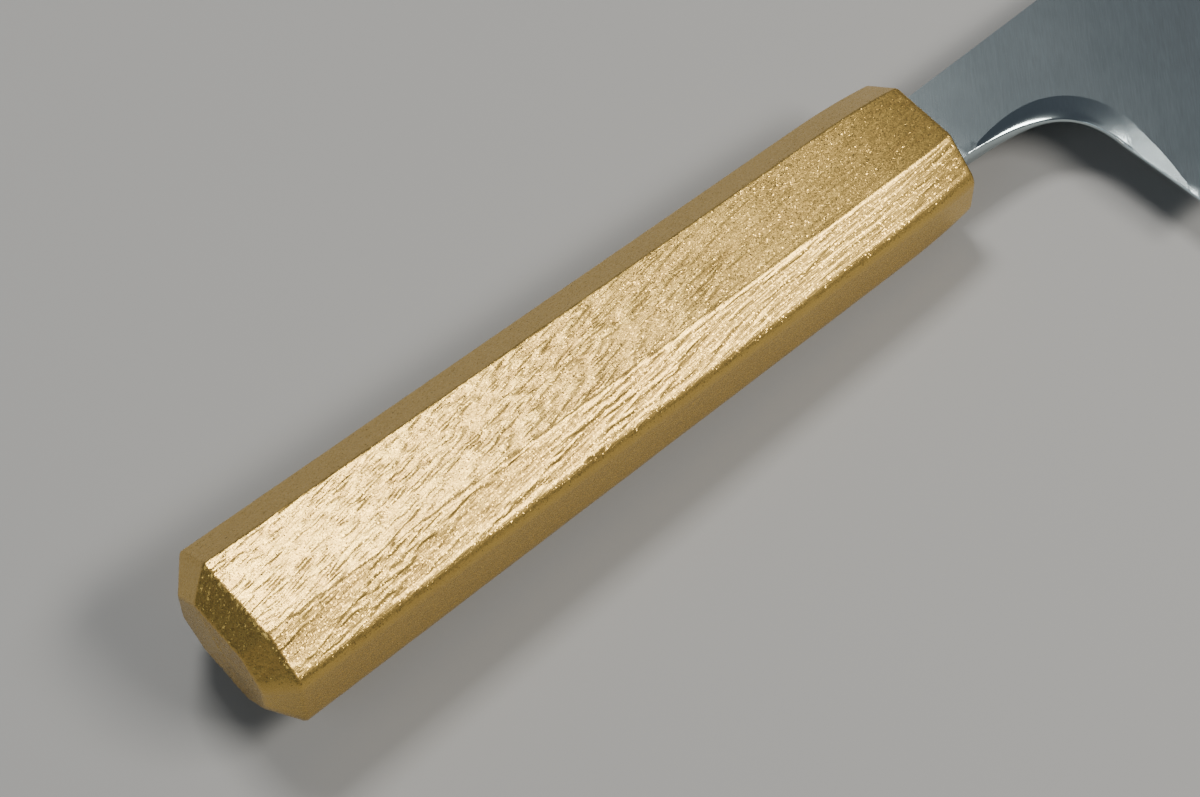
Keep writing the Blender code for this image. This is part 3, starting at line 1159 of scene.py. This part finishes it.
@dataclass
class Blade:
    """The blade with its neck and tang: a convex grind, an edge bevel and a polished choil lip."""

    neck_top: float = 0.0068
    neck_bottom: float = -0.0062
    spine_rise: float = math.tan(math.radians(1.65))
    spine_straight_end: float = 0.105
    spine_power: float = 2.6
    tip: tuple[float, float] = (0.234, -0.0045)
    heel: tuple[float, float] = (0.0238, -0.0358)
    belly_power: float = 3.4
    choil: tuple[tuple[float, float], ...] = (
        (0.0030, -0.0062),
        (0.0155, -0.0070),
        (0.0222, -0.0087),
        (0.0223, -0.0190),
    )
    neck_thickness: float = 0.0032
    heel_thickness: float = 0.0028
    tip_thickness: float = 0.0009
    shoulder_thickness: float = 0.0003
    grind_power: float = 1.8
    grind_start: float = 0.020
    bevel_width: float = 0.0008
    lip_width: float = 0.0038
    lip_fall: tuple[float, float] = (0.09, 0.185)
    lip_curl: tuple[float, float] = (0.155, 0.0)
    lip_curl_power: int = 4
    lip_turn: tuple[float, float] = (0.34, 0.68)
    lip_least: float = 0.35
    lip_end: float = 0.95
    lip_rows: tuple[float, ...] = (0.16, 0.34, 0.52, 0.66, 0.76, 0.84, 0.90)
    arris_radius: float = 0.00018
    arris_rows: tuple[float, ...] = (0.00003, 0.00009, 0.00018)
    arris_most: float = 0.8
    narrowest_lip: float = 0.0008
    crease_angle: float = math.radians(40.0)
    tang: tuple[tuple[float, float, float], ...] = (
        (-0.0070, 0.0130, 0.0032),
        (-0.0085, 0.0096, 0.0030),
        (-0.0980, 0.0056, 0.0022),
    )
    choil_points: int = 90
    heel_points: int = 40
    edge_points: int = 110
    spine_points: int = 90
    grid_step: float = 0.0028
    grid_clearance: float = 0.0009
    choil_reach: float = 0.004

    def spine_y(self, x: float) -> float:
        """Height of the spine above the handle's axis.

        Args:
            x: Place along the knife.

        Returns:
            The height.
        """
        top = self.neck_top + self.spine_rise * self.tip[0]
        drop = max(0.0, (x - self.spine_straight_end) / (self.tip[0] - self.spine_straight_end))
        return self.neck_top + self.spine_rise * x - (top - self.tip[1]) * drop**self.spine_power

    def edge_y(self, x: float) -> float:
        """Height of the cutting edge, level with the heel behind it."""
        along = max(0.0, (x - self.heel[0]) / (self.tip[0] - self.heel[0]))
        return self.heel[1] + (self.tip[1] - self.heel[1]) * along**self.belly_power

    def choil_line(self) -> list[Vector]:
        """Neck, round choil and heel as one line, up to the heel corner.

        Returns:
            The points.
        """
        arc = interpolate_bezier(*(Vector((*point, 0.0)) for point in self.choil), self.choil_points)
        points = [point.to_2d() for point in arc]
        heel = Vector(self.heel)
        last = points[-1]
        return points + [last.lerp(heel, i / self.heel_points) for i in range(1, self.heel_points)]

    def edge_line(self) -> list[Vector]:
        """The cutting edge from the heel corner to the tip.

        Returns:
            The points.
        """
        points = []
        for i in range(self.edge_points + 1):
            x = mix(self.heel[0], self.tip[0], math.sin(math.pi / 2 * i / self.edge_points))
            points.append(Vector((x, self.edge_y(x))))
        return points

    def spine_line(self) -> list[Vector]:
        """The spine from behind the tip back to the handle's front face.

        Returns:
            The points.
        """
        points = []
        for i in range(1, self.spine_points + 1):
            x = self.tip[0] * math.cos(math.pi / 2 * i / self.spine_points)
            points.append(Vector((x, self.spine_y(x))))
        return points

    def tang_line(self) -> list[Vector]:
        """The tang's outline, from its upper shoulder round to its lower one.

        Returns:
            The points.
        """
        middle = (self.neck_top + self.neck_bottom) / 2
        upper = [Vector((x, middle + height / 2)) for x, height, _ in self.tang]
        return upper + [Vector((point.x, 2 * middle - point.y)) for point in reversed(upper)]

    def lip_width_at(self, along: float) -> float:
        """Width of the polished lip at a share of the way along choil and heel."""
        return self.lip_width * math.sin(math.pi * min(1.0, along / self.lip_end))

    def half_thickness(self, point: Vector, choil: "Polyline") -> float:
        """Half the thickness of the steel at a point of the profile, away from the edge.

        Args:
            point: The point.
            choil: The line of neck, choil and heel.

        Returns:
            Half the thickness.
        """
        if point.x < 0.0:
            return self.tang_half_thickness(point.x)
        to_heel = min(1.0, point.x / self.heel[0])
        to_tip = max(0.0, (point.x - self.heel[0]) / (self.tip[0] - self.heel[0]))
        spine = mix(self.neck_thickness, self.heel_thickness, to_heel)
        spine += (self.tip_thickness - self.heel_thickness) * to_tip
        low = self.edge_y(point.x)
        share = min(1.0, max(0.0, (point.y - low) / (self.spine_y(point.x) - low)))
        fade = smooth_step(0.0, self.grind_start, point.x)
        ground = (spine - self.shoulder_thickness) * fade * (1.0 - share) ** self.grind_power
        away, along = choil.nearest(point)
        width = self.lip_width_at(along)
        into = max(0.0, 1.0 - away / width) if width > 1e-6 else 0.0
        turned = smooth_step(*self.lip_turn, along)
        slope, curl = mix(*self.lip_fall, turned), mix(*self.lip_curl, turned)
        fall = width * (slope * into + curl * into**self.lip_curl_power)
        half = (spine - ground) / 2
        half = max(half - fall, half * self.lip_least)
        radius = min(self.arris_radius, half * self.arris_most)
        if away < radius:
            half -= radius - math.sqrt(radius**2 - (radius - away) ** 2)
        return half

    def tang_half_thickness(self, x: float) -> float:
        """Half the thickness of the part inside the handle.

        Args:
            x: Place along the tang.

        Returns:
            Half the thickness.
        """
        (shoulder_x, _, neck), (step_x, _, step), (end_x, _, end) = self.tang
        if x > shoulder_x:
            return neck / 2
        if x > step_x:
            return step / 2
        return mix(step, end, (step_x - x) / (step_x - end_x)) / 2

    def lip_borders(self, choil: "Polyline") -> list[list[Vector]]:
        """Lines along the lip: its border on the blade's face, then rows towards the choil.

        Args:
            choil: The line of neck, choil and heel.

        Returns:
            The lines, the border first.
        """
        borders: list[list[Vector]] = []
        for row in (0.0, *self.lip_rows):
            border = []
            for here, inwards in choil.inward_normals():
                _, along = choil.nearest(here)
                width = self.lip_width_at(along)
                if width > self.narrowest_lip:
                    border.append(here + inwards * width * (1.0 - row))
            borders.append(border)
        return borders

    def arris_lines(self, choil: "Polyline") -> list[list[Vector]]:
        """Lines close inside the choil, which carry its eased edge."""
        pairs = choil.inward_normals()[1:]
        return [[here + inwards * row for here, inwards in pairs] for row in self.arris_rows]

    def bevel_border(self, edge: "Polyline") -> list[Vector]:
        """The upper border of the edge bevel.

        Args:
            edge: The cutting edge.

        Returns:
            The points.
        """
        border = []
        for here, inwards in edge.inward_normals():
            point = here + inwards * self.bevel_width
            if point.y < self.spine_y(point.x) - self.bevel_width:
                border.append(point)
        return border

    def face_points(self, lines: Sequence["Polyline"]) -> list[Vector]:
        """A regular field of points on the blade's face, clear of the drawn lines.

        Args:
            lines: The drawn lines, with the choil first.

        Returns:
            The points.
        """
        points = []
        columns = round(self.tip[0] / self.grid_step)
        for column in range(1, columns):
            x = self.tip[0] * column / columns
            low, high = self.edge_y(x), self.spine_y(x)
            rows = max(3, round((high - low) / self.grid_step))
            for row in range(1, rows):
                shift = 0.5 if column % 2 else 0.0
                point = Vector((x, mix(low, high, (row + shift) / rows)))
                if x < self.heel[0] + self.choil_reach and lines[0].side(point) <= 0.0:
                    continue
                if all(line.nearest(point)[0] > self.grid_clearance for line in lines):
                    points.append(point)
        return points

    def draw(self, choil: "Polyline", edge: "Polyline") -> Pattern:
        """Draws the blade flat, with its lines and a field of points, and divides it into faces.

        Args:
            choil: The line of neck, choil and heel.
            edge: The cutting edge.

        Returns:
            The flat pattern.
        """
        outline = self.tang_line() + choil.points + edge.points + self.spine_line()
        lines = self.lip_borders(choil) + self.arris_lines(choil) + [self.bevel_border(edge)]
        points = list(outline)
        borders: list[tuple[int, int]] = []
        crease: set[int] = set()
        for number, line in enumerate(lines):
            start = len(points)
            points += line
            borders += [(i, i + 1) for i in range(start, len(points) - 1)]
            if number in (0, len(lines) - 1):
                crease.update(range(start, len(points)))
        closed = Polyline(outline + outline[:1])
        points += self.face_points([choil, *(Polyline(line) for line in lines), closed])
        rim = list(range(len(outline)))
        placed, _, faces, sources, *_ = delaunay_2d_cdt(points, borders, [rim], 1, 1e-7)
        first_edge = outline.index(edge.points[0])
        keen = set(range(first_edge, first_edge + len(edge.points)))
        place_of = {source: place for place, given in enumerate(sources) for source in given}
        return Pattern(
            points=placed,
            faces=faces,
            outline=[place_of[i] for i in rim],
            keen={place for place, given in enumerate(sources) if keen & set(given)},
            creased={place for place, given in enumerate(sources) if crease & set(given)},
        )

    def surface_at(self, point: Vector, choil: "Polyline") -> SteelSurface:
        """How the steel is finished at a point of the profile.

        Args:
            point: The point.
            choil: The line of neck, choil and heel.

        Returns:
            The finish.
        """
        away, along = choil.nearest(point)
        on_lip = point.x > 0.0 and away < self.lip_width_at(along)
        return SteelSurface.POLISHED if on_lip else SteelSurface.BRUSHED

    @staticmethod
    def close_sides(solid: bmesh.types.BMesh, outline: Sequence[int], sides: Sides) -> None:
        """Makes the narrow wall that joins both faces round the outline.

        Args:
            solid: The blade so far.
            outline: Numbers of the points of the outline.
            sides: The corners of the right face and of the left one.
        """
        right, left = sides
        for a, b in zip(outline, [*outline[1:], outline[0]]):
            wall = list(dict.fromkeys((left[a], left[b], right[b], right[a])))
            if len(wall) > 2:
                made = solid.faces.new(wall)
                made.material_index = SteelSurface.POLISHED.value
                made.smooth = True

    def build(self, axes: KnifeAxes) -> bpy.types.Object:
        """Makes the blade's mesh: both faces, the spine, the choil wall and the edge.

        Args:
            axes: Where the knife's axes are in the frame.

        Returns:
            The blade as a piece of the knife.
        """
        choil, edge = Polyline(self.choil_line()), Polyline(self.edge_line())
        pattern = self.draw(choil, edge)
        solid = bmesh.new()
        right: list[bmesh.types.BMVert] = []
        left: list[bmesh.types.BMVert] = []
        for place, point in enumerate(pattern.points):
            high = 0.0 if place in pattern.keen else self.half_thickness(point, choil)
            right.append(solid.verts.new((point.x, point.y, high)))
            left.append(solid.verts.new((point.x, point.y, -high)) if high else right[-1])
        for face in pattern.faces:
            middle = sum((pattern.points[i] for i in face), Vector((0.0, 0.0))) / len(face)
            surface = self.surface_at(middle, choil)
            for side, order in ((right, face), (left, list(reversed(face)))):
                made = solid.faces.new([side[i] for i in order])
                made.material_index = surface.value
                made.smooth = True
        self.close_sides(solid, pattern.outline, (right, left))
        bmesh.ops.recalc_face_normals(solid, faces=solid.faces)
        marked = {side[i] for side in (right, left) for i in pattern.creased}
        for line in solid.edges:
            on_line = line.verts[0] in marked and line.verts[1] in marked
            steep = line.calc_face_angle(0.0) > self.crease_angle
            line.smooth = not (on_line or steep)
        mesh = finished_mesh("forged_blade", solid)
        piece = add_piece("forged_blade", mesh, axes)
        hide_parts("blade")
        return piece

    @staticmethod
    def dress(piece: bpy.types.Object) -> None:
        """Gives the faces their brushed finish, and lip, choil and spine their polish."""
        piece.data.materials.append(Steel(SteelSurface.BRUSHED).make())
        piece.data.materials.append(Steel(SteelSurface.POLISHED, roughness=0.14, marks=0.25).make())


class Polyline:
    """A line through points, which can say how near it passes to a point."""

    def __init__(self, points: Sequence[Vector]) -> None:
        """Keeps the points and works out the line's lengths.

        Args:
            points: The points, in order.
        """
        self.points = list(points)
        self.starts = np.array([tuple(point) for point in self.points[:-1]])
        self.steps = np.array([tuple(point) for point in self.points[1:]]) - self.starts
        self.lengths = np.linalg.norm(self.steps, axis=1)
        self.passed = np.concatenate([[0.0], np.cumsum(self.lengths)])

    def closest(self, point: Vector) -> tuple[int, float, float, np.ndarray]:
        """The line's nearest stretch to a point.

        Args:
            point: The point.

        Returns:
            Its number, the share passed on it, the distance, and the point seen from its start.
        """
        offset = np.array(tuple(point)) - self.starts
        share = np.clip((offset * self.steps).sum(1) / self.lengths**2, 0.0, 1.0)
        away = np.linalg.norm(offset - self.steps * share[:, None], axis=1)
        i = int(np.argmin(away))
        return i, float(share[i]), float(away[i]), offset[i]

    def nearest(self, point: Vector) -> tuple[float, float]:
        """The distance to a point, and the share of the line's length at the nearest place."""
        i, share, away, _ = self.closest(point)
        return away, float((self.passed[i] + share * self.lengths[i]) / self.passed[-1])

    def side(self, point: Vector) -> float:
        """Positive on the left of the line's nearest stretch, negative on its right."""
        i, _, _, offset = self.closest(point)
        return float(self.steps[i][0] * offset[1] - self.steps[i][1] * offset[0])

    def inward_normals(self) -> list[tuple[Vector, Vector]]:
        """Each inner point of the line with the unit direction to its left.

        Returns:
            The points and directions.
        """
        pairs = []
        for before, here, after in zip(self.points, self.points[1:], self.points[2:]):
            pairs.append((here, Vector((before.y - after.y, after.x - before.x)).normalized()))
        return pairs


# Adhesive -----------------------------------------------------------------------------------------


@dataclass
class AdhesiveBed:
    """The sleeve of cured filler round the tang, with its front a little sunk in the mouth."""

    middle_y: float = 0.0003
    mouth: tuple[float, float] = (0.0148, 0.0050)
    neck: tuple[float, float] = (0.0131, 0.0033)
    front: tuple[tuple[float, float], ...] = (
        (0.0, -0.00055),
        (0.25, -0.00075),
        (0.5, -0.00072),
        (0.78, -0.00055),
        (1.0, -0.00030),
    )
    inside: tuple[tuple[float, float, float], ...] = (
        (-0.0070, 0.0131, 0.0033),
        (-0.0086, 0.0097, 0.0031),
        (-0.0981, 0.0057, 0.0023),
    )
    outside: tuple[tuple[float, float, float], ...] = (
        (-0.0985, 0.0073, 0.0039),
        (-0.0090, 0.0113, 0.0047),
        (-0.0075, 0.0147, 0.0049),
    )

    def turn(self, depth: float, height: float, thickness: float) -> list[tuple[float, float, float]]:
        """One turn of the sleeve.

        Args:
            depth: Its place along the knife.
            height: Its height.
            thickness: Its width.

        Returns:
            Its four corners.
        """
        high, wide = height / 2, thickness / 2
        corners = ((high, -wide), (high, wide), (-high, wide), (-high, -wide))
        return [(depth, self.middle_y + y, z) for y, z in corners]

    def build(self, axes: KnifeAxes) -> bpy.types.Object:
        """Makes the bed as one closed sleeve.

        Args:
            axes: Where the knife's axes are in the frame.

        Returns:
            The bed, whose turns go across its front, back along the tang and out along the bore.
        """
        turns = []
        for share, depth in self.front:
            height, thickness = (mix(*ends, share) for ends in zip(self.mouth, self.neck))
            turns.append((depth, height, thickness))
        turns += [*self.inside, *self.outside]
        solid = bmesh.new()
        rings = [[solid.verts.new(point) for point in self.turn(*sizes)] for sizes in turns]
        for ring, following in zip(rings, rings[1:] + rings[:1]):
            for i in range(len(ring)):
                j = (i + 1) % len(ring)
                solid.faces.new((ring[i], ring[j], following[j], following[i]))
        bmesh.ops.recalc_face_normals(solid, faces=solid.faces)
        mesh = finished_mesh("adhesive_bed", solid)
        piece = add_piece("adhesive_bed", mesh, axes)
        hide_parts("tang_adhesive")
        return piece

    @staticmethod
    def dress(piece: bpy.types.Object) -> None:
        """Gives the bed its dark finish, partly the filler's own tone and partly painted shade."""
        piece.data.materials.append(AdhesiveWithPaintedShade().make())


# Studio -------------------------------------------------------------------------------------------


@dataclass(frozen=True)
class Softbox:
    """A soft light that faces the knife."""

    name: str
    towards: tuple[float, float, float]
    distance: float
    size: tuple[float, float]
    power: float
    tint: tuple[float, float, float] = (1.0, 1.0, 1.0)

    def build(self, target: Vector) -> None:
        """Hangs the light on its side of the target.

        Args:
            target: The place that it faces.
        """
        lamp = bpy.data.lights.new(self.name, "AREA")
        lamp.shape = "RECTANGLE"
        lamp.size, lamp.size_y = self.size
        lamp.energy = self.power
        lamp.color = self.tint
        light = bpy.data.objects.new(self.name, lamp)
        bpy.context.scene.collection.objects.link(light)
        direction = Vector(self.towards).normalized()
        light.location = target + direction * self.distance
        light.rotation_euler = (-direction).to_track_quat("-Z", "Y").to_euler()


@dataclass
class Studio:
    """Floor, lights and camera."""

    boxes: tuple[Softbox, ...] = (
        Softbox("key_box", (0.08, 0.44, 0.89), 0.90, (0.27, 0.21), 6.5, (1.0, 0.975, 0.93)),
        Softbox("front_box", (0.37, -0.55, 0.75), 0.90, (0.46, 0.20), 8.9, (1.0, 0.96, 0.89)),
        Softbox("back_box", (-0.78, -0.08, 0.60), 0.90, (0.60, 0.50), 1.6, (0.86, 0.95, 1.0)),
    )
    lit_x: float = -0.02
    world_light: tuple[float, float, float] = (0.072, 0.082, 0.099)
    floor_size: float = 6.0
    floor_clearance: float = 0.00002
    settling_steps: int = 6
    camera_offset: tuple[float, float, float] = (-0.20304, -0.17241, 0.35111)
    camera_forward: tuple[float, float, float] = (0.3378, 0.4101, -0.8472)
    camera_up: tuple[float, float, float] = (0.5538, 0.6412, 0.5312)
    focal_length: float = 90.44
    sensor_width: float = 36.0

    def resting_line(
        self, pieces: Sequence[bpy.types.Object], balance_x: float
    ) -> tuple[Vector, Vector]:
        """The two points that the knife rests on, lying flat.

        Args:
            pieces: The pieces that can touch the floor.
            balance_x: A place between the two points, below the knife's weight.

        Returns:
            The point behind the balance and the point in front of it.
        """
        points = [vertex.co for piece in pieces for vertex in piece.data.vertices]
        behind = [point for point in points if point.x < balance_x]
        ahead = [point for point in points if point.x >= balance_x]
        slope = 0.0
        for _ in range(self.settling_steps):
            first = min(behind, key=lambda point: point.z - slope * point.x)
            second = min(ahead, key=lambda point: point.z - slope * point.x)
            slope = (second.z - first.z) / (second.x - first.x)
        return first.copy(), second.copy()

    def build_floor(self, first: Vector, second: Vector) -> None:
        """Lays the floor just under the two points that the knife rests on.

        Args:
            first: The point behind the balance.
            second: The point in front of it.
        """
        slope = math.atan2(second.z - first.z, second.x - first.x)
        place = first - Vector((0.0, 0.0, self.floor_clearance))
        bpy.ops.mesh.primitive_plane_add(size=self.floor_size, location=place)
        floor = bpy.context.object
        floor.name = "floor"
        floor.rotation_euler = (0.0, -slope, 0.0)
        floor.data.materials.append(FloorPaint().make())

    def build_world(self) -> None:
        """Fills the room with a weak, even and slightly cool light."""
        world = bpy.data.worlds.new("studio_room")
        world.use_nodes = True
        background = world.node_tree.nodes["Background"]
        background.inputs["Color"].default_value = colour(*self.world_light)
        bpy.context.scene.world = world

    def build_camera(self, axes: KnifeAxes) -> None:
        """Sets the camera above the handle, looking along it and down.

        Args:
            axes: Where the knife's axes are in the frame.
        """
        lens = bpy.data.cameras.new("camera")
        lens.lens = self.focal_length
        lens.sensor_width = self.sensor_width
        lens.sensor_fit = "HORIZONTAL"
        camera = bpy.data.objects.new("camera", lens)
        bpy.context.scene.collection.objects.link(camera)
        forward = Vector(self.camera_forward).normalized()
        right = forward.cross(Vector(self.camera_up)).normalized()
        up = right.cross(forward)
        turn = Matrix((right, up, -forward)).transposed()
        camera.matrix_world = Matrix.Translation(axes.point(*self.camera_offset)) @ turn.to_4x4()
        bpy.context.scene.camera = camera

    def build(self, axes: KnifeAxes, pieces: Sequence[bpy.types.Object]) -> None:
        """Builds the whole studio.

        Args:
            axes: Where the knife's axes are in the frame.
            pieces: The pieces that can touch the floor.
        """
        self.build_floor(*self.resting_line(pieces, axes.front))
        self.build_world()
        self.build_camera(axes)
        target = axes.point(self.lit_x, 0.0, 0.0)
        for box in self.boxes:
            box.build(target)


def main() -> None:
    """Builds and dresses every piece, then sets up the studio."""
    logging.basicConfig(level=logging.INFO, format="%(name)s %(message)s")
    axes = KnifeAxes.from_frame()
    handle = Handle()
    blade = Blade()
    pieces = [handle.build(axes), blade.build(axes)]
    handle.dress(pieces[0])
    blade.dress(pieces[1])
    bed = AdhesiveBed()
    bed.dress(bed.build(axes))
    Studio().build(axes, pieces)


if __name__ == "__main__":
    main()
